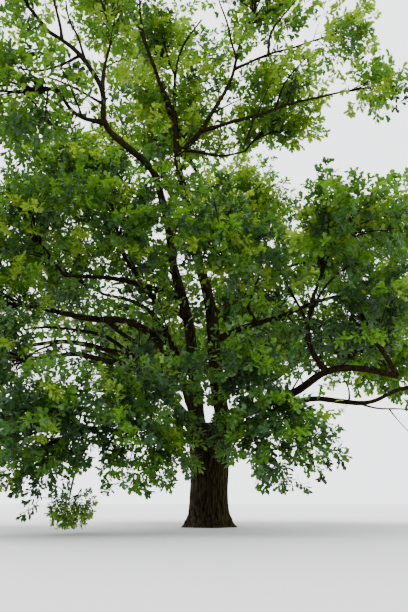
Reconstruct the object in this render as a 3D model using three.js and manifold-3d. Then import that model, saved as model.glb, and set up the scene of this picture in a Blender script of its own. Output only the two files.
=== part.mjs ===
// An open-grown oak: one trunk that forks low, spreading boughs and separate masses of foliage.
// Units are millimetres, +Z is up, +X is to the right and -Y is the front. The origin is the middle of the
// flat cut at ground level.

import * as THREE from "three";
import { mergeVertices } from "three/addons/utils/BufferGeometryUtils.js";
import Module from "manifold-3d";

const wasm = await Module();
wasm.setup();

// Driving dimensions. The tree is measured in metres, and M turns them into millimetres.
const M = 1000;
const GAP = 0.4;              // what a piece stands clear of the piece that carries it
const FORK = 2.5;             // height of the fork above the ground
const TRUNK_LEAN = 0.06;      // how far the trunk's top stands to the right of its foot
const TRUNK_SIDES = 20;
const TRUNK_THICK = [1.1, 1.1]; // what twigs and leaves take the trunk's width for, from end to end
const LIMB_SIDES = 6;
const LIMB_STEP = 1.0;        // length of a limb between two rings of its solid
const WALK = 0.1;             // step that a limb's line is worked out in
const EASE = 0.3;             // half the stretch over which a bend is eased
const CROOK = 4;              // degrees that a limb wanders either side of its heading
const CROOK_TURN = 3.1;       // how fast it wanders sideways, in radians for each metre
const CROOK_RISE = 2.3;       // how fast it wanders up and down
const CROOK_PHASE = 1.3;      // what each limb's wandering is shifted by from the one before
const TAPER_POWER = 0.8;      // a limb thins a little faster near its foot
const SPACE_GAP = 0.03;       // half the gap that is kept between two neighbouring masses
const SPACE_SQUASH = 1.4;     // how much more a height counts than a width where two masses share out space
const LIMB_CLEAR = 0.07;      // what twigs and leaves keep clear of a limb's side
const LOWEST = 0.08;          // nothing but the trunk reaches lower than this
const TWIG_SIDES = 3;
const TWIG_TAPER = 0.75;      // a twig's far end beside its near end

// The trunk's half width at heights up its side, both in metres: the root flare, the waist and the fork.
const TRUNK_PROFILE = [
  [0.0, 0.73], [0.12, 0.66], [0.3, 0.585], [0.6, 0.54], [1.0, 0.52], [1.5, 0.525],
  [1.9, 0.565], [2.2, 0.6], [2.42, 0.56], [2.55, 0.4],
];
const ROOT_LOBES = 5;
const ROOT_LOBE_DEPTH = 0.09; // share of the half width by which the root lobes stand out at the ground
const ROOT_LOBE_RISE = 0.7;   // height over which the lobes fade into the round trunk
const ROOT_LOBE_TURN = 0.6;   // radians that the lobes are turned by from the right

// Each bough grows from a point so many metres up its parent, in stretches of a length, a heading and a rise.
// Headings go round from 0 at the right: 90 is away, 180 left and 270 the front. thick is its two widths.
const BOUGHS = {
  leader_left: {
    on: "trunk", at: 1.9, thick: [0.44, 0.11],
    way: [[0.7, 180, 59], [2.5, 195, 86], [2.0, 205, 75], [1.2, 223, 76], [2.0, 241, 66],
      [1.1, 220, 17], [0.9, 226, 23], [0.9, 281, 71], [1.2, 215, 46], [0.9, 212, 18]],
  },
  leader_right: {
    on: "trunk", at: 1.9, thick: [0.52, 0.1],
    way: [[0.8, 0, 59], [2.2, 155, 81], [1.4, 110, 86], [1.4, 153, 71], [1.9, 166, 78], [1.9, 198, 80],
      [1.8, 213, 84], [2.3, 200, 67], [1.0, 228, 57]],
  },
  upper_left_mid: {
    on: "leader_left", at: 10.4, thick: [0.15, 0.08], way: [[0.8, 194, 4], [0.8, 237, 29]],
  },
  upper_left_top: {
    on: "leader_left", at: 11.3, thick: [0.13, 0.07], way: [[1.1, 68, 84], [1.0, 71, 77]],
  },
  top_mid: {
    on: "leader_right", at: 10.7, thick: [0.15, 0.08], way: [[1.6, 110, 82], [1.2, 100, 80]],
  },
  upper_right: {
    on: "leader_right", at: 10.0, thick: [0.2, 0.08],
    way: [[0.6, 338, 21], [0.6, 331, 44], [1.0, 321, 48], [1.0, 337, 60], [1.2, 312, 70]],
  },
  right_tip: {
    on: "upper_right", at: 3.4, thick: [0.11, 0.06], way: [[1.1, 338, 15], [0.9, 339, -2]],
  },
  right_mid: {
    on: "upper_right", at: 1.1, thick: [0.16, 0.07],
    way: [[1.7, 346, 5], [1.3, 342, 13], [0.8, 339, -3]],
  },
  right_hang: {
    on: "leader_right", at: 10.1, thick: [0.13, 0.07], way: [[1.6, 22, 6], [0.9, 8, 16]],
  },
  left_high: {
    on: "leader_left", at: 4.6, thick: [0.2, 0.09], way: [[1.1, 212, 4], [1.1, 206, 3], [1.3, 202, -3]],
  },
  left_up: {
    on: "leader_left", at: 4.0, thick: [0.24, 0.09],
    way: [[1.1, 215, 4], [0.7, 238, 43], [1.0, 214, 48]],
  },
  left_rising: {
    on: "trunk", at: 2.1, thick: [0.3, 0.1],
    way: [[1.4, 176, 66], [1.9, 128, 66], [1.3, 139, 55], [1.3, 153, 34], [1.1, 154, 20]],
  },
  left_middle: {
    on: "trunk", at: 2.0, thick: [0.34, 0.13],
    way: [[1.7, 206, 66], [1.7, 209, 56], [1.0, 206, 20], [1.0, 197, 0], [1.3, 189, 8]],
  },
  left_long: {
    on: "trunk", at: 1.9, thick: [0.3, 0.12],
    way: [[1.4, 166, 58], [2.4, 160, 46], [1.2, 164, 18], [1.5, 168, 10], [0.9, 168, -4]],
  },
  left_low: {
    on: "trunk", at: 1.8, thick: [0.28, 0.1],
    way: [[1.5, 216, 48], [1.9, 216, 38], [0.8, 210, -5], [0.7, 215, 9], [0.8, 222, -15]],
  },
  right_level: {
    on: "leader_right", at: 3.3, thick: [0.22, 0.09],
    way: [[0.8, 338, 19], [0.6, 331, 11], [0.8, 329, 8], [0.8, 329, 14], [0.8, 336, 7]],
  },
  right_low: {
    on: "trunk", at: 1.9, thick: [0.34, 0.13],
    way: [[1.2, 322, 50], [2.6, 306, 8], [0.4, 304, 30], [0.5, 320, 18], [0.8, 345, -4],
      [0.7, 350, -12]],
  },
  right_riser: {
    on: "right_low", at: 4.6, thick: [0.15, 0.08],
    way: [[0.7, 180, 52], [0.8, 285, 82], [0.5, 322, 70]],
  },
  right_bare: {
    on: "trunk", at: 1.7, thick: [0.26, 0.07],
    way: [[1.2, 342, 50], [2.3, 330, 15], [1.0, 330, -11], [0.5, 326, -14], [0.7, 351, 29],
      [0.5, 338, 6], [0.7, 351, -18]],
  },
  front_high: {
    on: "right_level", at: 1.4, thick: [0.13, 0.07], way: [[0.7, 238, 38], [1.0, 235, 29]],
  },
  front_low_left: {
    on: "trunk", at: 1.6, thick: [0.24, 0.09], way: [[1.4, 236, 34], [1.4, 232, 2], [1.2, 241, -13]],
  },
  back_right_low: {
    on: "trunk", at: 1.9, thick: [0.3, 0.11], way: [[1.9, 28, 52], [2.5, 24, 38], [1.3, 29, 20]],
  },
  back_low: {
    on: "trunk", at: 2.0, thick: [0.3, 0.11], way: [[1.9, 63, 57], [2.4, 68, 40], [1.2, 74, 24]],
  },
  back_left_low: {
    on: "trunk", at: 1.8, thick: [0.3, 0.11], way: [[1.9, 116, 59], [2.4, 112, 40], [1.4, 118, 24]],
  },
  back_right_mid: {
    on: "leader_right", at: 4.2, thick: [0.19, 0.1], way: [[1.6, 35, 32], [2.8, 38, 35], [0.8, 35, 22]],
  },
  back_mid: {
    on: "leader_right", at: 6.6, thick: [0.18, 0.1], way: [[1.3, 68, 26], [2.6, 76, 38]],
  },
  back_left_mid: {
    on: "leader_left", at: 5.8, thick: [0.18, 0.1], way: [[1.3, 121, 16], [2.8, 137, 46]],
  },
};

// Each mass grows from a bough's tip or the trunk. stem is the length, heading and rise from there to the
// middle of its space, reach is the space's half width and tall its half height.
const MASSES = {
  leader_left: { from: "leader_left", stem: [1.4, 226, 29], reach: 2.3, tall: 1.6 },
  leader_right: { from: "leader_right", stem: [2.0, 206, 62], reach: 2.4, tall: 1.7 },
  upper_left_mid: { from: "upper_left_mid", stem: [1.0, 212, -28], reach: 2.3, tall: 2.6 },
  upper_left_top: { from: "upper_left_top", stem: [1.3, 150, 74], reach: 1.6, tall: 1.5 },
  top_mid: { from: "top_mid", stem: [2.2, 135, 64], reach: 2.4, tall: 2.0 },
  upper_right: { from: "upper_right", stem: [1.5, 335, 62], reach: 2.1, tall: 1.6 },
  right_tip: { from: "right_tip", stem: [1.5, 338, 2], reach: 1.25, tall: 1.25 },
  right_mid: { from: "right_mid", stem: [1.8, 346, 2], reach: 1.2, tall: 1.0 },
  right_hang: { from: "right_hang", stem: [2.1, 355, 50], reach: 2.2, tall: 1.5 },
  left_high: { from: "left_high", stem: [1.7, 203, 48], reach: 2.3, tall: 2.0 },
  left_up: { from: "left_up", stem: [1.2, 262, 36], reach: 2.0, tall: 1.5 },
  left_rising: { from: "left_rising", stem: [2.2, 157, 30], reach: 2.6, tall: 2.1 },
  left_middle: { from: "left_middle", stem: [1.1, 194, 2], reach: 2.3, tall: 1.6 },
  left_long: { from: "left_long", stem: [1.3, 168, -4], reach: 2.4, tall: 1.7 },
  left_low: { from: "left_low", stem: [1.2, 217, -12], reach: 2.0, tall: 1.4 },
  right_level: { from: "right_level", stem: [1.3, 337, -5], reach: 1.9, tall: 1.4 },
  right_low: { from: "right_low", stem: [1.4, 190, 62], reach: 1.6, tall: 1.2 },
  right_riser: { from: "right_riser", stem: [1.7, 324, 62], reach: 2.1, tall: 1.5 },
  front_high: { from: "front_high", stem: [1.5, 258, 8], reach: 1.9, tall: 1.8 },
  front_mid: { from: "trunk", at: 2.3, stem: [4.0, 276, 17], reach: 1.9, tall: 0.95 },
  front_low_right: { from: "trunk", at: 1.8, stem: [4.4, 286, 4], reach: 1.6, tall: 1.6 },
  front_low_mid: { from: "trunk", at: 1.9, stem: [4.5, 250, 2], reach: 1.8, tall: 1.6 },
  front_low_left: { from: "front_low_left", stem: [2.0, 233, -4], reach: 2.0, tall: 1.7 },
  hanging: { from: "front_low_left", stem: [1.85, 220, -57], reach: 0.5, tall: 0.66 },
  back_right_low: { from: "back_right_low", stem: [2.0, 28, 2], reach: 2.8, tall: 2.2 },
  back_low: { from: "back_low", stem: [2.3, 95, 34], reach: 3.1, tall: 2.8 },
  back_left_low: { from: "back_left_low", stem: [2.0, 118, 8], reach: 3.0, tall: 2.7 },
  back_right_mid: { from: "back_right_mid", stem: [2.0, 45, 28], reach: 2.9, tall: 2.4 },
  right_far: { from: "back_right_mid", stem: [3.8, 318, 1], reach: 2.2, tall: 1.8 },
  back_mid: { from: "back_mid", stem: [2.6, 60, 40], reach: 3.0, tall: 2.6 },
  back_top: { from: "back_mid", stem: [4.3, 232, 48], reach: 2.8, tall: 2.4 },
  back_left_mid: { from: "back_left_mid", stem: [2.5, 170, 50], reach: 3.0, tall: 2.6 },
};

// Inside a mass, main twigs fan out from the stem and carry sprays: broad blades, each for a spray of leaves.
const TWIGS_PER_REACH = 2.2;  // main twigs for each metre of a mass's reach
const TWIGS_LEAST = 5;
const TWIG_REACHES = [0.6, 0.4]; // how far out a main twig's end lies in its space, the first that is free
const TWIG_LEAN = 0.35;       // how much a main twig leans the way that the stem goes
const TWIG_THICK = 0.065;     // a three-sided twig's width over its corners
const STEM_THICK = 1.5;       // a three-sided stem's width over its corners, beside its bough's round tip
const TRUNK_STEM_THICK = 0.2;
const FORKS_BACK = 0.75;      // how far down the stem main twigs fork, beside the mass's reach
const FORKS_CLEAR = 0.8;      // share of the stem that they stay within
const GOLDEN = 0.618034;      // share of a turn from one main twig to the next
const MASS_TURN = 0.377;      // share of a turn that each mass starts at from the one before
const FORK_SHIFT = 0.3;       // where the first main twig forks, as a share of the forking stretch
const TILT_SHIFT = 0.17;      // where the run of tilts starts
const SPRAYS_AT = [1, 0.68, 0.4]; // where sprays stand along a main twig: one on its end, then side by side
const SPRAY_SPLAY = 52;       // degrees between a side spray and its twig
const SPRAY_BASE = 0.7;       // a blade's length in the smallest mass, in metres
const SPRAY_GROWTH = 0.42;    // what the length gains with each metre of the mass's reach
const SPRAY_SIZES = [1, 0.8, 0.62, 0.45]; // lengths that are tried, the longest that fits being kept
const SPRAY_WIDE = 0.85;       // width beside length
const SPRAY_THICK = 0.04;     // thickness beside length
const SPRAY_SHOULDER = 0.6;   // how far from its root a blade is widest, beside its length
const SPRAY_STALK = 0.018;    // width of the stalk that joins a side blade to its twig
const FAN_TILT = 55;          // degrees that a fan of sprays tilts from level, at most
const SPRAY_TWIST = 14;       // degrees that each spray turns out of its fan

// Materials
const bark = () => new THREE.MeshStandardMaterial({ color: 0x4a4037, roughness: 0.95, metalness: 0 });
const foliage = () => new THREE.MeshStandardMaterial({ color: 0x4d7a25, roughness: 0.7, metalness: 0 });

const radians = THREE.MathUtils.degToRad;
const vec = (x, y, z) => new THREE.Vector3(x, y, z);
const fraction = (x) => x - Math.floor(x);

function direction(heading, rise) {
  const level = Math.cos(radians(rise));
  return vec(
    Math.cos(radians(heading)) * level,
    Math.sin(radians(heading)) * level,
    Math.sin(radians(rise)),
  );
}

// A limb's line

function stretchAt(way, s) {
  let run = 0;
  for (const [length, heading, rise] of way) {
    run += length;
    if (s < run) {
      return [heading, rise];
    }
  }
  const last = way[way.length - 1];
  return [last[1], last[2]];
}

function headingAt(way, s, phase) {
  const wander = CROOK * Math.sin(CROOK_TURN * s + phase);
  const lift = CROOK * Math.sin(CROOK_RISE * s + 2 * phase);
  const sum = vec(0, 0, 0);
  for (const share of [-1, -0.5, 0, 0.5, 1]) {
    const [heading, rise] = stretchAt(way, Math.max(0, s + share * EASE));
    sum.add(direction(heading + wander, rise + lift));
  }
  return sum.normalize();
}

function walk(start, way, phase) {
  const length = way.reduce((sum, [stretch]) => sum + stretch, 0);
  const steps = Math.round(length / WALK);
  const line = [start.clone()];
  for (let i = 0; i < steps; i += 1) {
    const ahead = headingAt(way, (i + 0.5) * WALK, phase);
    line.push(line[i].clone().addScaledVector(ahead, WALK));
  }
  return line;
}

const widthAt = (thick, t) => thick[0] + (thick[1] - thick[0]) * Math.pow(t, TAPER_POWER);

// Solids

function solidOf(geometry) {
  geometry.deleteAttribute("normal");
  geometry.deleteAttribute("uv");
  const merged = mergeVertices(geometry, 1e-3);
  return new wasm.Manifold(new wasm.Mesh({
    numProp: 3,
    vertProperties: new Float32Array(merged.attributes.position.array),
    triVerts: new Uint32Array(merged.index.array),
  }));
}

function geometryOf(solid) {
  const mesh = solid.getMesh();
  const geometry = new THREE.BufferGeometry();
  geometry.setAttribute("position", new THREE.BufferAttribute(mesh.vertProperties, mesh.numProp));
  geometry.setIndex(new THREE.BufferAttribute(mesh.triVerts, 1));
  geometry.computeVertexNormals();
  return geometry;
}

function largestPiece(solid) {
  const pieces = solid.decompose();
  return pieces.sort((a, b) => b.volume() - a.volume())[0];
}

function eachVertex(geometry, move) {
  const place = geometry.attributes.position;
  const point = vec(0, 0, 0);
  for (let i = 0; i < place.count; i += 1) {
    point.fromBufferAttribute(place, i);
    move(point);
    place.setXYZ(i, point.x, point.y, point.z);
  }
  return geometry;
}

function trunkSolid(swell) {
  const top = TRUNK_PROFILE[TRUNK_PROFILE.length - 1][0];
  const profile = [
    new THREE.Vector2(0, -swell),
    ...TRUNK_PROFILE.map(([height, half]) => new THREE.Vector2(half * M + swell, height * M)),
    new THREE.Vector2(0, top * M + swell),
  ];
  profile[1].y -= swell;
  const form = new THREE.LatheGeometry(profile, TRUNK_SIDES);
  form.rotateX(Math.PI / 2);
  eachVertex(form, (p) => {
    const height = Math.max(0, p.z / M);
    const turn = Math.atan2(p.y, p.x);
    const fade = Math.max(0, 1 - height / ROOT_LOBE_RISE);
    const lobe = 1 + ROOT_LOBE_DEPTH * fade * fade * Math.cos(ROOT_LOBES * turn + ROOT_LOBE_TURN);
    p.x = p.x * lobe + TRUNK_LEAN * M * (height / FORK);
    p.y *= lobe;
  });
  return solidOf(form);
}

function limbSolid(line, thick, swell) {
  const curve = new THREE.CatmullRomCurve3(line.map((p) => p.clone().multiplyScalar(M)));
  const rings = Math.max(3, Math.round(((line.length - 1) * WALK) / LIMB_STEP));
  const frames = curve.computeFrenetFrames(rings);
  const form = new THREE.CylinderGeometry(1, 1, 1, LIMB_SIDES, rings);
  eachVertex(form, (p) => {
    const t = p.y + 0.5;
    const ring = Math.round(t * rings);
    const half = (widthAt(thick, t) / 2) * M + swell;
    const across = p.x * half;
    const along = p.z * half;
    p.copy(curve.getPointAt(t));
    p.addScaledVector(frames.normals[ring], -across);
    p.addScaledVector(frames.binormals[ring], along);
    if (ring === 0 || ring === rings) {
      p.addScaledVector(frames.tangents[ring], ring === 0 ? -swell : swell);
    }
  });
  const solid = solidOf(form);
  return solid.volume() > 0 ? solid : solidOf(turnedInsideOut(form));
}

function turnedInsideOut(form) {
  const index = form.index.array;
  for (let i = 0; i < index.length; i += 3) {
    [index[i], index[i + 1]] = [index[i + 1], index[i]];
  }
  return form;
}

// A three-sided form through rings of three points, from a closed foot to a point

function loft(rings, tip) {
  const form = new THREE.ConeGeometry(1, 1, TWIG_SIDES, rings.length);
  const foot = rings[0].reduce((sum, p) => sum.add(p), vec(0, 0, 0)).divideScalar(TWIG_SIDES);
  eachVertex(form, (p) => {
    const ring = Math.round((p.y + 0.5) * rings.length);
    const turn = Math.atan2(p.x, p.z) / (2 * Math.PI);
    const k = Math.round(turn * TWIG_SIDES + TWIG_SIDES) % TWIG_SIDES;
    const onAxis = Math.hypot(p.x, p.z) < 1e-6;
    const corner = ring === rings.length ? tip : rings[ring][k];
    p.copy(onAxis && ring === 0 ? foot : corner).multiplyScalar(M);
  });
  const solid = solidOf(form);
  return solid.volume() > 0 ? solid : solidOf(turnedInsideOut(form));
}

function ringAt(middle, side, up, wide) {
  return [90, 330, 210].map((turn) => middle.clone()
    .addScaledVector(side, (Math.cos(radians(turn)) * wide) / 2)
    .addScaledVector(up, (Math.sin(radians(turn)) * wide) / 2));
}

// A blade's outline: tip, root, left and right, and the ridge over its widest place
function bladeCorners({ root, ahead, side, up, length }) {
  const shoulder = root.clone().addScaledVector(ahead, SPRAY_SHOULDER * length);
  return [
    root.clone().addScaledVector(ahead, length),
    root,
    shoulder.clone().addScaledVector(side, (length * SPRAY_WIDE) / 2),
    shoulder.clone().addScaledVector(side, (-length * SPRAY_WIDE) / 2),
    shoulder.clone().addScaledVector(up, length * SPRAY_THICK),
  ];
}

function bladeSolid(spray, below = []) {
  const [tip, root, left, right, ridge] = bladeCorners(spray);
  return loft([...below, ringAt(root, spray.side, spray.up, spray.stalk), [ridge, left, right]], tip);
}

// Limbs: each is cut back to stand clear of the trunk and of the limbs made before it

const limbs = new Map();
const group = new THREE.Group();

function show(name, solid, material) {
  const mesh = new THREE.Mesh(geometryOf(solid), material);
  mesh.name = name;
  group.add(mesh);
}

function clearOf(solid, others) {
  let left = solid;
  for (const { fat } of others) {
    left = left.subtract(fat);
  }
  return largestPiece(left);
}

const trunkLine = [];
for (let s = 0; s <= FORK + 1e-6; s += WALK) {
  trunkLine.push(vec((TRUNK_LEAN * s) / FORK, 0, s));
}
limbs.set("trunk", { line: trunkLine, thick: TRUNK_THICK, fat: trunkSolid(GAP) });
show("trunk", trunkSolid(0), bark());

Object.entries(BOUGHS).forEach(([name, { on, at, thick, way }], order) => {
  const start = limbs.get(on).line[Math.round(at / WALK)];
  const line = walk(start, way, order * CROOK_PHASE);
  const solid = clearOf(limbSolid(line, thick, 0), limbs.values());
  limbs.set(name, { line, thick, fat: limbSolid(line, thick, GAP) });
  show(name, solid, bark());
});

// The spaces that the masses keep to

function pointOn(name, at) {
  return limbs.get(name).line[Math.round(at / WALK)];
}

function endOf(name) {
  const { line } = limbs.get(name);
  return line[line.length - 1];
}

const spaces = Object.entries(MASSES).map(([name, mass], order) => {
  const root = mass.at === undefined ? endOf(mass.from) : pointOn(mass.from, mass.at);
  const [length, heading, rise] = mass.stem;
  const stem = direction(heading, rise);
  const head = root.clone().addScaledVector(stem, length);
  return { ...mass, name, order, root, stem, head };
});

const squashed = (p) => vec(p.x, p.y, p.z * SPACE_SQUASH);

function insideSpace(space, p) {
  const off = p.clone().sub(space.head);
  const level = Math.hypot(off.x, off.y) / space.reach;
  const high = off.z / space.tall;
  if (level * level + high * high > 1 || p.z < LOWEST) {
    return false;
  }
  const here = squashed(p);
  const mine = here.distanceToSquared(squashed(space.head)) - space.reach * space.reach;
  return spaces.every((other) => {
    if (other === space) {
      return true;
    }
    const apart = squashed(other.head).distanceTo(squashed(space.head));
    const theirs = here.distanceToSquared(squashed(other.head)) - other.reach * other.reach;
    return mine + 2 * SPACE_GAP * apart < theirs;
  });
}

function standsClear(p, room, others) {
  for (const { line, thick } of others) {
    for (let i = 0; i < line.length; i += 1) {
      const half = widthAt(thick, i / (line.length - 1)) / 2;
      if (line[i].distanceTo(p) < half + room) {
        return false;
      }
    }
  }
  return true;
}

function wayClear(from, to, room, skip, others) {
  const steps = Math.max(2, Math.ceil(from.distanceTo(to) / WALK));
  for (let i = skip; i <= steps; i += 1) {
    if (!standsClear(from.clone().lerp(to, i / steps), room, others)) {
      return false;
    }
  }
  return true;
}

// Whether two blades, or a blade and a twig, run through each other

const halves = ([tip, root, left, right]) => [
  new THREE.Triangle(root, left, tip),
  new THREE.Triangle(root, tip, right),
];
const edges = ([tip, root, left, right]) => [
  [root, left],
  [left, tip],
  [tip, right],
  [right, root],
  [root, tip],
];

function pierces([from, to], corners) {
  const length = from.distanceTo(to);
  const ray = new THREE.Ray(from, to.clone().sub(from).divideScalar(length));
  return halves(corners).some(({ a, b, c }) => {
    const hit = ray.intersectTriangle(a, b, c, false, vec(0, 0, 0));
    return hit !== null && hit.distanceTo(from) < length;
  });
}

const cuts = (a, b) => edges(a).some((edge) => pierces(edge, b));
const cross = (a, b) => cuts(a, b) || cuts(b, a);

// Each mass's stem stands clear of the limbs and of the stems made before it

function stemOf(space) {
  const clearance = space.at === undefined ? GAP / M : 0;
  return [space.root.clone().addScaledVector(space.stem, clearance), space.head];
}

function stemWidth(space) {
  return space.at === undefined ? limbs.get(space.from).thick[1] * STEM_THICK : TRUNK_STEM_THICK;
}

function stemSolid(space, swell) {
  const [foot, head] = stemOf(space);
  const wide = stemWidth(space) + (4 * swell) / M;
  const side = vec(0, 0, 1).cross(space.stem).normalize();
  const up = space.stem.clone().cross(side);
  const start = foot.clone().addScaledVector(space.stem, -swell / M);
  const rings = [ringAt(start, side, up, wide), ringAt(head, side, up, wide * TWIG_TAPER)];
  return loft(rings, head.clone().addScaledVector(space.stem, wide));
}

const stems = spaces.map((space) => {
  const [foot, head] = stemOf(space);
  const steps = Math.ceil(foot.distanceTo(head) / WALK);
  const line = Array.from({ length: steps + 1 }, (_, i) => foot.clone().lerp(head, i / steps));
  const wide = stemWidth(space);
  return { space, line, thick: [wide, wide * TWIG_TAPER], fat: stemSolid(space, GAP) };
});

const othersThan = (space) => [...limbs.values(), ...stems.filter((stem) => stem.space !== space)];

// A mass: a stem, main twigs that fan out from it, and a fan of sprays on each main twig

function mainTwigs(space) {
  const [foot, head] = stemOf(space);
  const back = Math.min(FORKS_BACK * space.reach, FORKS_CLEAR * foot.distanceTo(head));
  const count = Math.max(TWIGS_LEAST, Math.round(TWIGS_PER_REACH * space.reach));
  const others = othersThan(space);
  const twigs = [];
  for (let i = 0; i < count; i += 1) {
    const turn = 2 * Math.PI * (GOLDEN * (i + 1) + MASS_TURN * space.order);
    const high = 1 - (2 * (i + 0.5)) / count;
    const level = Math.sqrt(1 - high * high);
    const out = vec(Math.cos(turn) * level, Math.sin(turn) * level, high);
    out.addScaledVector(space.stem, TWIG_LEAN).normalize();
    const from = head.clone().addScaledVector(space.stem, -back * fraction(FORK_SHIFT + GOLDEN * i));
    const rim = vec(out.x * space.reach, out.y * space.reach, out.z * space.tall);
    const end = TWIG_REACHES.map((share) => head.clone().addScaledVector(rim, share))
      .find((p) => insideSpace(space, p) && wayClear(from, p, LIMB_CLEAR, 1, others));
    if (end) {
      twigs.push({ from, end, tilt: FAN_TILT * (2 * fraction(TILT_SHIFT + GOLDEN * (i + space.order)) - 1) });
    }
  }
  return twigs;
}

function sprayOn(twig, place, j, length) {
  const along = twig.end.clone().sub(twig.from).normalize();
  const level = vec(0, 0, 1).cross(along).normalize();
  const fan = level.applyAxisAngle(along, radians(twig.tilt));
  const splay = place === 1 ? 0 : radians(SPRAY_SPLAY) * (j % 2 === 0 ? 1 : -1);
  const ahead = along.clone().multiplyScalar(Math.cos(splay)).addScaledVector(fan, Math.sin(splay));
  const side = fan.clone().multiplyScalar(Math.cos(splay)).addScaledVector(along, -Math.sin(splay));
  side.applyAxisAngle(ahead, radians(SPRAY_TWIST) * (j - 1));
  const root = twig.from.clone().lerp(twig.end, place);
  const stalk = place === 1 ? TWIG_THICK * TWIG_TAPER : SPRAY_STALK;
  return { twig, place, root, ahead, side, up: ahead.clone().cross(side), length, stalk };
}

function fits(space, corners, twig, twigs, blades, others) {
  const [tip, root, left, right] = corners;
  return corners.every((p) => insideSpace(space, p))
    && wayClear(root, tip, LIMB_CLEAR, 0, others) && wayClear(left, right, LIMB_CLEAR, 0, others)
    && !pierces(stemOf(space), corners)
    && twigs.every((other) => other === twig || !pierces([other.from, other.end], corners))
    && blades.every((other) => !cross(other, corners));
}

function spraysOf(space, twigs) {
  const sprays = [];
  const blades = [];
  const others = othersThan(space);
  for (const [j, place] of SPRAYS_AT.entries()) {
    for (const twig of twigs) {
      for (const size of SPRAY_SIZES) {
        const spray = sprayOn(twig, place, j, (SPRAY_BASE + SPRAY_GROWTH * space.reach) * size);
        const corners = bladeCorners(spray);
        if (fits(space, corners, twig, twigs, blades, others)) {
          sprays.push(spray);
          blades.push(corners);
          break;
        }
      }
    }
  }
  return sprays;
}

function twigSolid({ from, end }, sprays) {
  const spray = sprays.find(({ twig, place }) => twig.end === end && place === 1);
  const along = end.clone().sub(from).normalize();
  const side = spray ? spray.side : vec(0, 0, 1).cross(along).normalize();
  const up = along.clone().cross(side);
  const foot = ringAt(from, side, up, TWIG_THICK);
  return spray ? bladeSolid(spray, [foot]) : loft([foot], end);
}

function massSolid(space) {
  const twigs = mainTwigs(space);
  const sprays = spraysOf(space, twigs);
  const parts = [
    stemSolid(space, 0),
    ...twigs.map((twig) => twigSolid(twig, sprays)),
    ...sprays.filter(({ place }) => place < 1).map((spray) => bladeSolid(spray)),
  ];
  return clearOf(wasm.Manifold.union(parts), [...limbs.values(), ...stems.slice(0, space.order)]);
}

spaces.forEach((space) => {
  show(`${space.name}_foliage`, massSolid(space), foliage());
});

export default group;
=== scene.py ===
"""An open-grown oak in summer leaf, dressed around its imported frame.

The trunk and boughs get bark with real relief, and each mass of foliage grows on from its bough by the same
rule as the solids: a stem, main twigs, side twigs and shoots, with leaves in sprays. Branches along the
boughs fill the crown between the masses. Lengths are in metres, headings and rises in degrees, with +Z up,
+X to the right and -Y the front.
"""

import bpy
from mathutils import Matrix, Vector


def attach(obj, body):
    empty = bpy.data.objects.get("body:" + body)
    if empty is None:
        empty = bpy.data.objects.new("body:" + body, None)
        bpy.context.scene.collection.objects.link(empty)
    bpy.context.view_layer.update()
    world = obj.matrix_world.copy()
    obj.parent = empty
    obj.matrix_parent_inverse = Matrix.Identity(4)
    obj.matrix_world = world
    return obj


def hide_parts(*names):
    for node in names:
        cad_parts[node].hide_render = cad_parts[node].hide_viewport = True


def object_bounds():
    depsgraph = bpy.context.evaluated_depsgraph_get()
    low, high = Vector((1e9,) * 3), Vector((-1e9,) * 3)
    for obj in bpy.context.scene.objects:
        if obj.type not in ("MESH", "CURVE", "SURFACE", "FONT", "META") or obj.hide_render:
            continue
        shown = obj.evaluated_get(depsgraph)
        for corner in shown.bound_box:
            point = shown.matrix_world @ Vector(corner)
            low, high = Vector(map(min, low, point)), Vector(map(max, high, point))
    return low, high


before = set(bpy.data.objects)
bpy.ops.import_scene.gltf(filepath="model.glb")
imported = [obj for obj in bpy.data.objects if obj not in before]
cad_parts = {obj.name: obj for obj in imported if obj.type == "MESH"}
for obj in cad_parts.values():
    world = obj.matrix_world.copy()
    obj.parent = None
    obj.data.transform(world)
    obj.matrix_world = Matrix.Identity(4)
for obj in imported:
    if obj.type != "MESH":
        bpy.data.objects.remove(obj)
cad_box = [list(corner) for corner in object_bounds()]

import math

import bpy
import numpy as np
from mathutils import Matrix

# The tree's own sizes, as the solids have them

FORK = 2.5  # height of the fork above the ground
TRUNK_LEAN = 0.06  # how far the trunk's top stands to the right of its foot
TRUNK_HALF = 0.55  # what twigs and collars take its half width for
WALK = 0.1  # step that a limb's line is worked out in
EASE = 0.3  # half the stretch over which a bend is eased
CROOK = 4  # degrees that a limb wanders either side of its heading
CROOK_TURN = 3.1  # how fast it wanders sideways, in radians for each metre
CROOK_RISE = 2.3
CROOK_PHASE = 1.3  # what each limb's wandering is shifted by from the one before
TAPER_POWER = 0.8  # a limb thins a little faster near its foot
SPACE_GAP = 0.03  # half the gap that is kept between two neighbouring masses
SPACE_SQUASH = 1.4  # how much more a height counts than a width where two masses share out space
LOWEST = 0.08  # the tips of twigs and leaves keep above this

# The trunk's half width at heights up its side: the root flare, the waist and the fork
TRUNK_PROFILE = [
    (0.0, 0.73), (0.12, 0.66), (0.3, 0.585), (0.6, 0.54), (1.0, 0.52), (1.5, 0.525),
    (1.9, 0.565), (2.2, 0.6), (2.42, 0.56), (2.55, 0.4),
]
ROOT_LOBES = 5
ROOT_LOBE_DEPTH = 0.09  # share of the half width by which the root lobes stand out at the ground
ROOT_LOBE_RISE = 0.7  # height over which the lobes fade into the round trunk
ROOT_LOBE_TURN = 0.6  # phase of the lobes round the trunk, in radians

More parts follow.
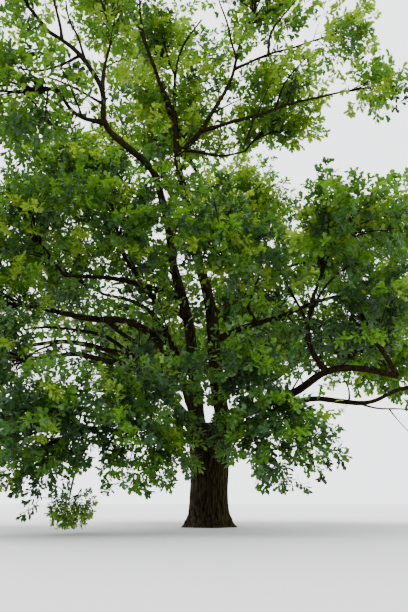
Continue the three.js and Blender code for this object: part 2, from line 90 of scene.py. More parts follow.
# Each bough: its parent, how far up that it starts, its width at each end, and its stretches of length,
# heading and rise. Headings go round from 0 at the right: 90 is away, 180 left and 270 the front.
BOUGHS = {
    "leader_left": ("trunk", 1.9, (0.44, 0.11), [
        (0.7, 180, 59), (2.5, 195, 86), (2.0, 205, 75), (1.2, 223, 76), (2.0, 241, 66), (1.1, 220, 17),
        (0.9, 226, 23), (0.9, 281, 71), (1.2, 215, 46), (0.9, 212, 18)]),
    "leader_right": ("trunk", 1.9, (0.52, 0.1), [
        (0.8, 0, 59), (2.2, 155, 81), (1.4, 110, 86), (1.4, 153, 71), (1.9, 166, 78), (1.9, 198, 80),
        (1.8, 213, 84), (2.3, 200, 67), (1.0, 228, 57)]),
    "upper_left_mid": ("leader_left", 10.4, (0.15, 0.08), [(0.8, 194, 4), (0.8, 237, 29)]),
    "upper_left_top": ("leader_left", 11.3, (0.13, 0.07), [(1.1, 68, 84), (1.0, 71, 77)]),
    "top_mid": ("leader_right", 10.7, (0.15, 0.08), [(1.6, 110, 82), (1.2, 100, 80)]),
    "upper_right": ("leader_right", 10.0, (0.2, 0.08), [
        (0.6, 338, 21), (0.6, 331, 44), (1.0, 321, 48), (1.0, 337, 60), (1.2, 312, 70)]),
    "right_tip": ("upper_right", 3.4, (0.11, 0.06), [(1.1, 338, 15), (0.9, 339, -2)]),
    "right_mid": ("upper_right", 1.1, (0.16, 0.07), [(1.7, 346, 5), (1.3, 342, 13), (0.8, 339, -3)]),
    "right_hang": ("leader_right", 10.1, (0.13, 0.07), [(1.6, 22, 6), (0.9, 8, 16)]),
    "left_high": ("leader_left", 4.6, (0.2, 0.09), [(1.1, 212, 4), (1.1, 206, 3), (1.3, 202, -3)]),
    "left_up": ("leader_left", 4.0, (0.24, 0.09), [(1.1, 215, 4), (0.7, 238, 43), (1.0, 214, 48)]),
    "left_rising": ("trunk", 2.1, (0.3, 0.1), [
        (1.4, 176, 66), (1.9, 128, 66), (1.3, 139, 55), (1.3, 153, 34), (1.1, 154, 20)]),
    "left_middle": ("trunk", 2.0, (0.34, 0.13), [
        (1.7, 206, 66), (1.7, 209, 56), (1.0, 206, 20), (1.0, 197, 0), (1.3, 189, 8)]),
    "left_long": ("trunk", 1.9, (0.3, 0.12), [
        (1.4, 166, 58), (2.4, 160, 46), (1.2, 164, 18), (1.5, 168, 10), (0.9, 168, -4)]),
    "left_low": ("trunk", 1.8, (0.28, 0.1), [
        (1.5, 216, 48), (1.9, 216, 38), (0.8, 210, -5), (0.7, 215, 9), (0.8, 222, -15)]),
    "right_level": ("leader_right", 3.3, (0.22, 0.09), [
        (0.8, 338, 19), (0.6, 331, 11), (0.8, 329, 8), (0.8, 329, 14), (0.8, 336, 7)]),
    "right_low": ("trunk", 1.9, (0.34, 0.13), [
        (1.2, 322, 50), (2.6, 306, 8), (0.4, 304, 30), (0.5, 320, 18), (0.8, 345, -4), (0.7, 350, -12)]),
    "right_riser": ("right_low", 4.6, (0.15, 0.08), [(0.7, 180, 52), (0.8, 285, 82), (0.5, 322, 70)]),
    "right_bare": ("trunk", 1.7, (0.26, 0.07), [
        (1.2, 342, 50), (2.3, 330, 15), (1.0, 330, -11), (0.5, 326, -14), (0.7, 351, 29), (0.5, 338, 6),
        (0.7, 351, -18)]),
    "front_high": ("right_level", 1.4, (0.13, 0.07), [(0.7, 238, 38), (1.0, 235, 29)]),
    "front_low_left": ("trunk", 1.6, (0.24, 0.09), [(1.4, 236, 34), (1.4, 232, 2), (1.2, 241, -13)]),
    "back_right_low": ("trunk", 1.9, (0.3, 0.11), [(1.9, 28, 52), (2.5, 24, 38), (1.3, 29, 20)]),
    "back_low": ("trunk", 2.0, (0.3, 0.11), [(1.9, 63, 57), (2.4, 68, 40), (1.2, 74, 24)]),
    "back_left_low": ("trunk", 1.8, (0.3, 0.11), [(1.9, 116, 59), (2.4, 112, 40), (1.4, 118, 24)]),
    "back_right_mid": ("leader_right", 4.2, (0.19, 0.1), [(1.6, 35, 32), (2.8, 38, 35), (0.8, 35, 22)]),
    "back_mid": ("leader_right", 6.6, (0.18, 0.1), [(1.3, 68, 26), (2.6, 76, 38)]),
    "back_left_mid": ("leader_left", 5.8, (0.18, 0.1), [(1.3, 121, 16), (2.8, 137, 46)]),
}

# Smaller boughs that show against the sky in the photograph, told the same way. The solids leave them out.
SMALL_BOUGHS = {
    "left_sweep": ("left_long", 3.7, (0.15, 0.06), [
        (0.8, 207, 35), (0.5, 217, 15), (0.8, 210, 5), (0.7, 206, 0), (0.7, 208, -20)]),
    "left_dip": ("left_long", 6.2, (0.09, 0.05), [(0.7, 197, -19), (0.4, 212, -29), (0.6, 215, -54)]),
    "left_fork": ("left_middle", 4.9, (0.16, 0.09), [(0.5, 43, -36), (0.7, 50, -15)]),
    "high_level": ("upper_left_mid", 1.5, (0.1, 0.06), [(0.5, 203, 11), (0.7, 199, -30), (0.5, 191, 5)]),
    "high_slant": ("leader_left", 10.9, (0.09, 0.05), [(0.9, 162, 41), (0.9, 164, 31), (0.8, 172, 27)]),
    "high_side": ("leader_left", 12.4, (0.09, 0.05), [(0.7, 154, -9), (0.8, 165, -3), (0.6, 170, 27)]),
    "top_upright": ("leader_left", 13.0, (0.1, 0.06), [(0.7, 136, 79), (0.8, 156, 72), (0.5, 180, 67)]),
    "top_inner": ("leader_left", 12.2, (0.09, 0.05), [(1.2, 132, 64), (1.1, 140, 63), (1.0, 139, 72)]),
    "top_rise": ("leader_right", 14.2, (0.1, 0.06), [(1.3, 133, 77), (1.0, 139, 81), (0.6, 0, 89)]),
    "top_side": ("top_mid", 2.5, (0.1, 0.06), [(0.8, 300, 74), (0.9, 344, 65), (0.9, 349, 57)]),
    "right_up": ("right_tip", 1.2, (0.09, 0.05), [(1.0, 47, 82), (0.8, 0, 61), (0.8, 0, 50)]),
    "right_inner": ("upper_right", 3.8, (0.09, 0.05), [(1.5, 126, 76), (1.0, 138, 73), (0.8, 143, 79)]),
    "right_rise": ("right_mid", 2.5, (0.08, 0.045), [(1.2, 26, 68), (0.8, 15, 62), (0.6, 15, 52)]),
    "right_drop": ("right_mid", 1.8, (0.09, 0.06), [(0.6, 211, -70), (0.8, 200, -68)]),
    "riser_fork": ("right_riser", 1.4, (0.08, 0.05), [(0.7, 34, 57), (0.6, 29, 48), (0.8, 19, 41)]),
    "riser_left": ("right_riser", 1.2, (0.07, 0.05), [(0.4, 134, 70), (0.7, 158, 66)]),
    "bare_low": ("right_bare", 4.7, (0.05, 0.03), [
        (0.4, 342, -26), (0.3, 340, 7), (0.4, 345, -2), (0.2, 330, -29)]),
    "bare_side": ("bare_low", 0.7, (0.035, 0.022), [(0.3, 287, -70), (0.2, 333, -26), (0.2, 0, -57)]),
    "bare_up": ("right_bare", 4.4, (0.05, 0.03), [(0.4, 36, 65), (0.3, 144, 56)]),
}

# Each mass: the bough that it grows from, its stem's length, heading and rise, and its space's half width
# and half height. The last number is how far up the trunk the stem starts, where the trunk carries it.
MASSES = {
    "leader_left": ("leader_left", (1.4, 226, 29), 2.3, 1.6),
    "leader_right": ("leader_right", (2.0, 206, 62), 2.4, 1.7),
    "upper_left_mid": ("upper_left_mid", (1.0, 212, -28), 2.3, 2.6),
    "upper_left_top": ("upper_left_top", (1.3, 150, 74), 1.6, 1.5),
    "top_mid": ("top_mid", (2.2, 135, 64), 2.4, 2.0),
    "upper_right": ("upper_right", (1.5, 335, 62), 2.1, 1.6),
    "right_tip": ("right_tip", (1.5, 338, 2), 1.25, 1.25),
    "right_mid": ("right_mid", (1.8, 346, 2), 1.2, 1.0),
    "right_hang": ("right_hang", (2.1, 355, 50), 2.2, 1.5),
    "left_high": ("left_high", (1.7, 203, 48), 2.3, 2.0),
    "left_up": ("left_up", (1.2, 262, 36), 2.0, 1.5),
    "left_rising": ("left_rising", (2.2, 157, 30), 2.6, 2.1),
    "left_middle": ("left_middle", (1.1, 194, 2), 2.3, 1.6),
    "left_long": ("left_long", (1.3, 168, -4), 2.4, 1.7),
    "left_low": ("left_low", (1.2, 217, -12), 2.0, 1.4),
    "right_level": ("right_level", (1.3, 337, -5), 1.9, 1.4),
    "right_low": ("right_low", (1.4, 190, 62), 1.6, 1.2),
    "right_riser": ("right_riser", (1.7, 324, 62), 2.1, 1.5),
    "front_high": ("front_high", (1.5, 258, 8), 1.9, 1.8),
    "front_mid": ("trunk", (4.0, 276, 17), 1.9, 0.95, 2.3),
    "front_low_right": ("trunk", (4.4, 286, 4), 1.6, 1.6, 1.8),
    "front_low_mid": ("trunk", (4.5, 250, 2), 1.8, 1.6, 1.9),
    "front_low_left": ("front_low_left", (2.0, 233, -4), 2.0, 1.7),
    "hanging": ("front_low_left", (1.85, 220, -57), 0.5, 0.66),
    "back_right_low": ("back_right_low", (2.0, 28, 2), 2.8, 2.2),
    "back_low": ("back_low", (2.3, 95, 34), 3.1, 2.8),
    "back_left_low": ("back_left_low", (2.0, 118, 8), 3.0, 2.7),
    "back_right_mid": ("back_right_mid", (2.0, 45, 28), 2.9, 2.4),
    "right_far": ("back_right_mid", (3.8, 318, 1), 2.2, 1.8),
    "back_mid": ("back_mid", (2.6, 60, 40), 3.0, 2.6),
    "back_top": ("back_mid", (4.3, 232, 48), 2.8, 2.4),
    "back_left_mid": ("back_left_mid", (2.5, 170, 50), 3.0, 2.6),
}

# Twigs, from the stem outwards

TWIGS_PER_REACH = 2.2  # main twigs that the solids have for each metre of a mass's reach
TWIGS_LEAST = 5
EXTRA_TWIGS = 3.2  # further twigs for each square metre of half width by half height
TWIG_REACHES = (0.6, 0.4)  # how far out a main twig's end lies in its space, the first that is free
EXTRA_REACHES = (0.78, 0.6, 0.42)  # the same for the further twigs, which start at each of these in turn
TWIG_LEAN = 0.35
TWIG_ARCH = 0.1
TWIG_TESTED = (0.15, 1, 8)  # places along a main twig that stand clear of the limbs: first, last and count
FORKS_BACK = 0.75  # how far down the stem main twigs fork, beside the mass's reach
FORKS_CLEAR = 0.8  # share of the stem that they stay within
GOLDEN = 0.618034  # share of a turn from one main twig or branch to the next
MASS_TURN = 0.377  # share of a turn that each mass starts at from the one before
FORK_SHIFT = 0.3
TILT_SHIFT = 0.17
FAN_TILT = 55  # degrees that a fan of side twigs tilts from level, at most
LIMB_CLEAR = 0.07  # what twigs keep clear of a limb's side
TRUNK_STEM_THICK = 0.12
STEM_BEYOND = 0.35  # how far past the middle of its space a stem runs, beside the reach
STEM_TAPER = 0.35
STEM_ARCH = 0.04
STEM_DROP = -0.6  # a stem whose direction falls faster than this arches over first
STEM_OVER = 0.9  # share of its way across that such a stem goes before it bends down
MAIN_THICK = (0.05, 0.014)
MAIN_LENGTH = 1.6
MAIN_SHARES = (0.6, 1.3)
SIDE_THICK = (0.018, 0.006)
SHOOT_THICK = (0.008, 0.003)
THIN_SHARE = 0.5  # a twig that is cut short is no thinner than this beside a whole one
SIDE_STEP = 0.22  # metres along a main twig between side twigs
SIDE_LENGTH = 0.78
SHOOT_STEP = 0.12  # metres along a side twig between leafy shoots
SHOOT_LENGTH = 0.24
SIZES = (1.0, 0.8, 0.62, 0.45)  # lengths that are tried, the longest that fits being kept
END_SPLAY = 0.12  # radians between a twig and the one on its end
LAST_PLACE = 0.99
PLACE_SWAY = 0.25  # how far a twig strays from its place, beside the step to the next
TILT_SWAY = 0.6  # radians that a fan of twigs strays from the turn of the twig that carries it
VARIED = (0.8, 1.2)  # how much splays and lengths of branches differ from one to the next
LENGTH_VARIED = (0.8, 1.15)
SEED = 20

TWIG_FACES = ((8, 10), (5, 5), (3, 2), (3, 1))  # sides and cuts of stems, main twigs, side twigs and shoots
NO_TWIGS_WAY = (0.12, 0.05, 1)  # a way that hardly any twig goes

# Branches along the boughs, which carry twigs as the masses do

BRANCHED = (0.38, 0.85)  # shares of a bough's length between which it carries branches
BRANCH_STEP = 0.5
BRANCH_LENGTH = (1.9, 0.8)
BRANCH_SPLAY = 52
BRANCH_RISE = 0.3
BRANCH_ARCH = 0.08
BRANCH_AROUND = 1.1  # half turns that branches keep to on the upper side of a level bough
BRANCH_SWAY = 0.3
BRANCH_TESTED = (0.5, 0.75, 1)  # shares of a branch's length that stand clear of the limbs
UPRIGHT = 0.85  # a bough that rises more than this, beside its length, has branches all round
BRANCH_THICK = (0.065, 0.014)
BRANCH_LOWEST = 3.2  # height above which branches and their twigs keep

# Leaves

LEAF_LENGTH = (0.15, 0.23)
LEAF_PLACES = (0.2, 0.42, 0.64, 0.84, 1.0, 1.0, 1.0, 1.0)  # along a shoot, most of them at its end
LEAF_TURN = 2.4  # radians round the shoot from one leaf to the next
LEAF_TURN_SWAY = 0.4
LEAF_SPLAY = 52
LEAF_SPLAY_VARIED = (0.5, 1.2)
LEAF_DROOP = 0.12  # how much a leaf sinks, beside its length
LEAF_SWAY = 0.12
LEAF_UP = 0.8
LEAF_TOSS = 0.45
HEART = 0.25  # how deep into a mass its leaves reach: share of its half width and half height
BOX_ROOM = 0.06  # how far a shoot's tip may stand out of the solids' box

# The stretches of the limbs that the photograph shows bare, from and to in metres along each. Most leaves
# that would hide them from the front are left off.
SHOWN = {
    "leader_left": ((3.1, 5.7), (8.4, 13.4)), "leader_right": ((2.8, 5.5), (9.0, 14.5)),
    "upper_left_mid": ((0, 1.6),), "upper_left_top": ((0, 1.6),), "upper_right": ((0, 3.6),),
    "right_tip": ((0, 1.6),), "right_mid": ((0, 3.4),), "right_hang": ((0.6, 2.4),), "top_mid": ((0.6, 2.8),),
    "left_high": ((0.8, 3.5),), "left_up": ((1.2, 2.8),), "left_rising": ((3.0, 7.0),),
    "left_middle": ((3.0, 6.6),), "left_long": ((4.0, 7.2),), "right_level": ((0, 3.8),),
    "right_low": ((3.7, 6.2),), "right_riser": ((0, 2.0),), "right_bare": ((3.4, 7.0),),
}
SHOWN_ROOM = 0.09  # what leaves in front keep to either side of such a limb
SHOWN_KEPT = 0.12  # share of the leaves in front that stay

# The photograph's camera

PHOTO_WIDTH = 408
PHOTO_HEIGHT = 612
FOCAL_PIXELS = 595
HORIZON_PIXEL = 503
CAMERA_AWAY = 16.7  # from the middle of the trunk's foot to the front
CAMERA_SIDE = -0.11
EYE_HEIGHT = 0.6  # above the foot, which stands on a mound
SENSOR = 36.0  # in millimetres, as Blender's lens is


def unit(v):
    return v / np.maximum(np.linalg.norm(v, axis=-1, keepdims=True), 1e-9)


def direction(heading, rise):
    level = math.cos(math.radians(rise))
    return np.array([
        math.cos(math.radians(heading)) * level,
        math.sin(math.radians(heading)) * level,
        math.sin(math.radians(rise)),
    ])


def fraction(x):
    return x - math.floor(x)


# Limb lines, walked in short steps with eased bends


def stretch_at(way, s):
    run = 0
    for length, heading, rise in way:
        run += length
        if s < run:
            return heading, rise
    return way[-1][1:]


def heading_at(way, s, phase):
    """Which way a limb goes at a place: as its stretch does, wandering a little and eased round the bends."""
    wander = CROOK * math.sin(CROOK_TURN * s + phase)
    lift = CROOK * math.sin(CROOK_RISE * s + 2 * phase)
    ahead = np.zeros(3)
    for share in (-1, -0.5, 0, 0.5, 1):
        heading, rise = stretch_at(way, max(0, s + share * EASE))
        ahead += direction(heading + wander, rise + lift)
    return unit(ahead)


def walk(start, way, phase):
    steps = round(sum(stretch[0] for stretch in way) / WALK)
    line = [np.array(start)]
    for i in range(steps):
        line.append(line[-1] + WALK * heading_at(way, (i + 0.5) * WALK, phase))
    return np.array(line)


def width_at(thick, t):
    return thick[0] + (thick[1] - thick[0]) * np.power(t, TAPER_POWER)


def limb_lines():
    """The line and the two widths of the trunk and of every bough."""
    up = np.arange(0, FORK + WALK / 2, WALK)
    trunk = np.stack([TRUNK_LEAN * up / FORK, 0 * up, up], 1)
    limbs = {"trunk": (trunk, (2 * TRUNK_HALF, 2 * TRUNK_HALF))}
    for order, (name, (parent, at, thick, way)) in enumerate([*BOUGHS.items(), *SMALL_BOUGHS.items()]):
        start = limbs[parent][0][round(at / WALK)]
        limbs[name] = (walk(start, way, order * CROOK_PHASE), thick)
    return limbs


# Noise that is always the same

CELL_MIX = (73856093, 19349663, 83492791)  # primes that turn a cell's place into one number
SEED_MIX = (971, 13)
LAST_MIX = 1274126177


def hashed(cell, seed):
    """A number from 0 to 1 for each cell, the same each time for one cell and seed."""
    n = cell[..., 0] * CELL_MIX[0] ^ cell[..., 1] * CELL_MIX[1] ^ cell[..., 2] * CELL_MIX[2]
    n = n ^ (seed * SEED_MIX[0] + SEED_MIX[1])
    n = (n ^ (n >> 13)) * LAST_MIX & 0x7FFFFFFF
    return ((n ^ (n >> 15)) & 0xFFFF) / 0xFFFF


def noise(points, seed=0):
    """Smooth noise from 0 to 1 at points given in cells."""
    cell = np.floor(points).astype(np.int64)
    f = points - cell
    f = f * f * (3 - 2 * f)
    total = np.zeros(points.shape[:-1])
    for corner in np.ndindex(2, 2, 2):
        weight = np.prod(np.where(np.array(corner) == 1, f, 1 - f), axis=-1)
        total += weight * hashed(cell + np.array(corner), seed)
    return total


def in_cells(across, along, cell):
    """Places across a limb and lengths along it, counted in cells of a width and a length."""
    return np.concatenate([across / cell[0], along[..., None] / cell[1]], -1)


def swells(across, along, cell, seed):
    """Broad swellings from -0.5 to 0.5."""
    return noise(in_cells(across, along, cell), seed) - 0.5


def furrows(across, along, cell, seed):
    """Bark furrows from 0 on a ridge to 1 in a groove: a net of wide ones with finer ones in it, all bent."""
    wide, long = cell
    bend = swells(across, along, (BEND_CELLS[0] * wide, BEND_CELLS[1] * long), seed + 7)
    spot = in_cells(across, along, cell) + BEND * bend[..., None]
    net = 1 - np.abs(2 * noise(spot, seed) - 1)
    fine = 1 - np.abs(2 * noise(FINER * spot, seed + 3) - 1)
    return np.clip(net ** 3 * NET_SHARE + fine ** 3 * FINE_SHARE, 0, 1)


# Meshes from arrays


def mesh_object(name, points, faces, materials, slots=None, smooth=False):
    """A mesh object whose faces all have the same number of corners."""
    sides = faces.shape[1]
    mesh = bpy.data.meshes.new(name)
    mesh.vertices.add(len(points))
    mesh.vertices.foreach_set("co", points.astype(np.float32).ravel())
    mesh.loops.add(faces.size)
    mesh.loops.foreach_set("vertex_index", faces.astype(np.int32).ravel())
    mesh.polygons.add(len(faces))
    mesh.polygons.foreach_set("loop_start", np.arange(0, faces.size, sides, dtype=np.int32))
    for material in materials:
        mesh.materials.append(material)
    if slots is not None:
        mesh.polygons.foreach_set("material_index", slots.astype(np.int32))
    mesh.polygons.foreach_set("use_smooth", np.full(len(faces), smooth))
    mesh.update(calc_edges=True)
    piece = bpy.data.objects.new(name, mesh)
    bpy.context.scene.collection.objects.link(piece)
    return piece


class Pile:
    """Points and faces gathered from many forms."""

    def __init__(self):
        self.points, self.faces, self.count = [], [], 0

    def add(self, points, faces):
        self.points.append(points)
        self.faces.append(faces + self.count)
        self.count += len(points)

    def arrays(self):
        return np.concatenate(self.points), np.concatenate(self.faces)


def smoothed(values, times):
    """The values with each inner one drawn towards its neighbours, so many times over."""
    for _ in range(times):
        values[1:-1] = (values[:-2] + 2 * values[1:-1] + values[2:]) / 4
    return values


def closed_rings(rings):
    """The points and triangles of a closed form through rings of points, with one more point in each end."""
    count, sides, _ = rings.shape
    ring, side = np.meshgrid(np.arange(count - 1), np.arange(sides), indexing="ij")
    a, b = ring * sides + side, ring * sides + (side + 1) % sides
    walls = np.stack([a, b, b + sides, a, b + sides, a + sides], -1).reshape(-1, 3)
    foot, top = count * sides, count * sides + 1
    around = np.arange(sides)
    after = (around + 1) % sides
    last = (count - 1) * sides
    ends = [np.stack([after, around, np.full(sides, foot)], -1),
            np.stack([last + around, last + after, np.full(sides, top)], -1)]
    points = np.concatenate([rings.reshape(-1, 3), rings[:1].mean(1), rings[-1:].mean(1)])
    return points, np.concatenate([walls, *ends])


NEARLY_UPRIGHT = 0.1  # a line whose start goes less than this across, beside its length, counts as upright


def carried_frames(line):
    """A sideways and an upward direction at each point of a line, turning as little as they can."""
    ahead = unit(np.gradient(line, axis=0))
    side = np.cross(ahead[0], [0, 0, 1])
    if np.linalg.norm(side) < NEARLY_UPRIGHT:
        side = np.cross(ahead[0], [0, 1, 0])
    sides = []
    for step in ahead:
        side = unit(side - step * side.dot(step))
        sides.append(side)
    sides = np.array(sides)
    return sides, np.cross(ahead, sides)


# Bark

BARK_PLATE = (0.065, 0.48)  # a plate of bark on the trunk: across and along
PLATE_LIMB = 0.9  # width of a limb whose plates are as large as that
PLATE_POWERS = (0.5, 0.4)  # how fast plates shrink with a limb's width: across and along
PLATE_LEAST = 0.018
BEND_CELLS = (3, 2)  # plates across and along to one swell of the noise that bends the furrows
BEND = 1.6
FINER = 2.3  # how many fine furrows there are to a wide one
NET_SHARE = 0.75
FINE_SHARE = 0.35
BOUGH_FURROW = 0.128
BOUGH_SWELL = 0.16
BOUGH_SWELLS = (0.16, 0.35)
BOUGH_SMOOTHING = 4
BOUGH_RING = 0.075
BOUGH_RINGS = 12
BOUGH_FACE = 0.03
BOUGH_SIDES = (12, 36)
COLLAR = 0.3  # how much wider a bough's foot is than the bough
COLLAR_LENGTH = 0.14
TRUNK_FURROW = 0.04
TRUNK_SWELL = 0.07
TRUNK_SWELLS = (0.35, 0.8)
TRUNK_SMOOTHING = 6
TRUNK_RING = 0.024
TRUNK_RELIEF_SIDES = 160
DOME_FROM = 2.3  # height at which the trunk starts to round off inside its fork
DOME_RISE = 0.2
DOME_TIP = 0.0004  # square of the half width that is left at its top, beside the whole


def bough_mesh(line, thick, parent_half, seed):
    """A bough's bark as a closed form, with a collar where it comes out of a parent of that half width."""
    run = WALK * (len(line) - 1)
    s = np.linspace(0, run, max(BOUGH_RINGS, round(run / BOUGH_RING)))
    path = np.stack([np.interp(s, WALK * np.arange(len(line)), line[:, k]) for k in range(3)], 1)
    path = smoothed(path, BOUGH_SMOOTHING)
    side, up = carried_frames(path)
    half = width_at(thick, s / run) / 2
    half *= 1 + COLLAR * np.exp(-np.maximum(s - parent_half, 0) / COLLAR_LENGTH)
    sides = int(np.clip(round(math.pi * thick[0] / BOUGH_FACE), *BOUGH_SIDES))
    turn = np.linspace(0, 2 * math.pi, sides, endpoint=False)
    round_about = np.stack([np.cos(turn), np.sin(turn)], 1)
    across = round_about[None] * half[:, None, None]
    along = np.repeat(s[:, None], sides, 1)
    wide, long = (plate * (thick[0] / PLATE_LIMB) ** power for plate, power in zip(BARK_PLATE, PLATE_POWERS))
    groove = furrows(across, along, (max(PLATE_LEAST, wide), long), seed)
    swell = swells(across, along, BOUGH_SWELLS, seed + 11)
    r = half[:, None] * (1 - BOUGH_FURROW * groove + BOUGH_SWELL * swell)
    out = round_about[None, :, :1] * side[:, None] + round_about[None, :, 1:] * up[:, None]
    return closed_rings(path[:, None] + r[..., None] * out)


def trunk_mesh():
    """The trunk's bark as a closed form: its profile with root lobes, rounded off inside the fork."""
    heights, halves = np.array(TRUNK_PROFILE).T
    z = np.arange(0, heights[-1] + DOME_RISE, TRUNK_RING)
    half = smoothed(np.interp(z, heights, halves), TRUNK_SMOOTHING)
    dome = np.clip((z - DOME_FROM) / (z[-1] - DOME_FROM), 0, 1)
    half = half * np.sqrt(np.maximum(1 - dome ** 2, DOME_TIP))
    turn = np.linspace(0, 2 * math.pi, TRUNK_RELIEF_SIDES, endpoint=False)
    fade = np.maximum(0, 1 - z / ROOT_LOBE_RISE)
    lobe = 1 + ROOT_LOBE_DEPTH * (fade ** 2)[:, None] * np.cos(ROOT_LOBES * turn + ROOT_LOBE_TURN)[None]
    r = half[:, None] * lobe
    across = np.stack([np.cos(turn)[None] * r, np.sin(turn)[None] * r], -1)
    along = np.repeat(z[:, None], TRUNK_RELIEF_SIDES, 1)
    groove = furrows(across, along, BARK_PLATE, 5)
    swell = swells(across, along, TRUNK_SWELLS, 21)
    r = r * (1 + TRUNK_SWELL * swell) - TRUNK_FURROW * groove
    x = np.cos(turn)[None] * r + (TRUNK_LEAN * z / FORK)[:, None]
    y = np.sin(turn)[None] * r
    return closed_rings(np.stack([x, y, along], -1))


# The spaces that the masses keep to


class Spaces:
    """Each mass's stem and space, and how fine its twigs and leaves are, in the order of MASSES."""

    def __init__(self, limbs):
        self.names = list(MASSES)
        self.roots, self.heads, self.stems, self.reach, self.tall, self.wide = [], [], [], [], [], []
        for carrier, (length, heading, rise), reach, tall, *at in MASSES.values():
            line, thick = limbs[carrier]
            root = line[round(at[0] / WALK)] if at else line[-1]
            stem = direction(heading, rise)
            self.roots.append(root)
            self.stems.append(stem)
            self.heads.append(root + stem * length)
            self.reach.append(reach)
            self.tall.append(tall)
            self.wide.append(TRUNK_STEM_THICK if at else thick[1])
        self.roots, self.heads, self.stems = map(np.array, (self.roots, self.heads, self.stems))
        self.reach, self.tall = np.array(self.reach), np.array(self.tall)
        rows = [next(row for row in REGIONS.values() if name in row[3]) for name in MASSES]
        self.fine, self.leaf = np.array([row[1] for row in rows]), np.array([row[2] for row in rows])
        self.squash = np.array([1, 1, SPACE_SQUASH])
        self.box = np.array(cad_box)

    def heart(self, points, mass):
        """Whether each point lies deep in its mass, where an oak has no leaves for want of light."""
        off = (points - self.heads[mass]) / np.stack([self.reach, self.reach, self.tall], 1)[mass]
        return (off ** 2).sum(1) < HEART ** 2

    def hold(self, points, mass, free):
        """Whether each point lies in the space of its mass, or for a free twig within the crown."""
        off = points - self.heads[mass]
        level = (off[:, 0] ** 2 + off[:, 1] ** 2) / self.reach[mass] ** 2
        held = (level + (off[:, 2] / self.tall[mass]) ** 2 <= 1) & (points[:, 2] >= LOWEST)
        heads = self.heads * self.squash
        here = points * self.squash
        mine = ((here - heads[mass]) ** 2).sum(1) - self.reach[mass] ** 2
        for other in range(len(heads)):
            apart = np.linalg.norm(heads[other] - heads[mass], axis=1)
            theirs = ((here - heads[other]) ** 2).sum(1) - self.reach[other] ** 2
            held &= (mass == other) | (mine + 2 * SPACE_GAP * apart < theirs)
        held |= free & (points[:, 2] >= BRANCH_LOWEST)
        return held & (points > self.box[0] - BOX_ROOM).all(1) & (points < self.box[1] + BOX_ROOM).all(1)


def clear_of(points, limbs, room):
    """Whether each point stands clear of every limb."""
    clear = np.ones(len(points), bool)
    for line, thick in limbs.values():
        half = width_at(thick, np.linspace(0, 1, len(line))) / 2 + room
        low, high = line.min(0) - half.max(), line.max(0) + half.max()
        near = np.flatnonzero(clear & (points > low).all(1) & (points < high).all(1))
        if len(near):
            gap = np.linalg.norm(points[near, None] - line[None], axis=2)
            clear[near] = (gap >= half[None]).all(1)
    return clear


def hides_limb(points, limbs):
    """Whether each point stands between the photograph's eye and a limb that shows."""
    eye = np.array([CAMERA_SIDE, -CAMERA_AWAY, EYE_HEIGHT])
    away = np.linalg.norm(points - eye, axis=1)
    sight = (points - eye) / away[:, None]
    hides = np.zeros(len(points), bool)
    whole = {name: ((0, WALK * len(limbs[name][0])),) for name in SMALL_BOUGHS}
    for name, stretches in (SHOWN | whole).items():
        line, thick = limbs[name]
        half = width_at(thick, np.linspace(0, 1, len(line))) / 2 + SHOWN_ROOM
        for first, last in stretches:
            for step in range(round(first / WALK), min(round(last / WALK), len(line))):
                gap = line[step] - eye
                distance = np.linalg.norm(gap)
                edge = 1 - 0.5 * (half[step] / distance) ** 2  # cosine of the small angle to the limb's side
                close = sight @ (gap / distance) > edge
                hides |= close & (away < distance)
    return hides


# Twigs as bent lines: a start, a bend and an end, with a width at each end


def arched(start, end, long, rise):
    """Where twigs bend: a share of their length above their middles, or below where it is less than 0."""
    return (start + end) / 2 + np.array([0, 0, rise]) * long


class Twigs:
    """Bent lines, each with its widths, mass and spray, and whether it is free of its mass's space."""

    def __init__(self, start, bend, end, thick, mass, free, tilt, spray):
        self.parts = [start, bend, end, thick, mass, free, tilt, spray]
        self.start, self.bend, self.end, self.thick = start, bend, end, thick
        self.mass, self.free, self.tilt, self.spray = mass, free, tilt, spray

    def some(self, which):
        return Twigs(*(part[which] for part in self.parts))

    def joined(self, other):
        return Twigs(*(np.concatenate(pair) for pair in zip(self.parts, other.parts)))

    def at(self, which, t):
        a, b, c = self.start[which], self.bend[which], self.end[which]
        t = t[:, None]
        return a * (1 - t) ** 2 + 2 * b * t * (1 - t) + c * t ** 2

    def ahead(self, which, t):
        a, b, c = self.start[which], self.bend[which], self.end[which]
        t = t[:, None]
        return unit((b - a) * (1 - t) + (c - b) * t)

    def length(self):
        return np.linalg.norm(self.end - self.start, axis=1)


def stem_twigs(spaces):
    """The stem of each mass, arched a little, and arched over first where it goes down."""
    start, end = spaces.roots, spaces.heads + STEM_BEYOND * spaces.stems * spaces.reach[:, None]
    way = end - start
    bend = arched(start, end, np.linalg.norm(way, axis=1)[:, None], STEM_ARCH)
    down = spaces.stems[:, 2] < STEM_DROP
    bend[down] = start[down] + way[down] * np.array([STEM_OVER, STEM_OVER, 0])
    wide = np.array(spaces.wide)
    mass = np.arange(len(start))
    free, tilt = np.zeros(len(mass), bool), np.zeros(len(mass))
    return Twigs(start, bend, end, np.stack([wide, STEM_TAPER * wide], 1), mass, free, tilt, mass)


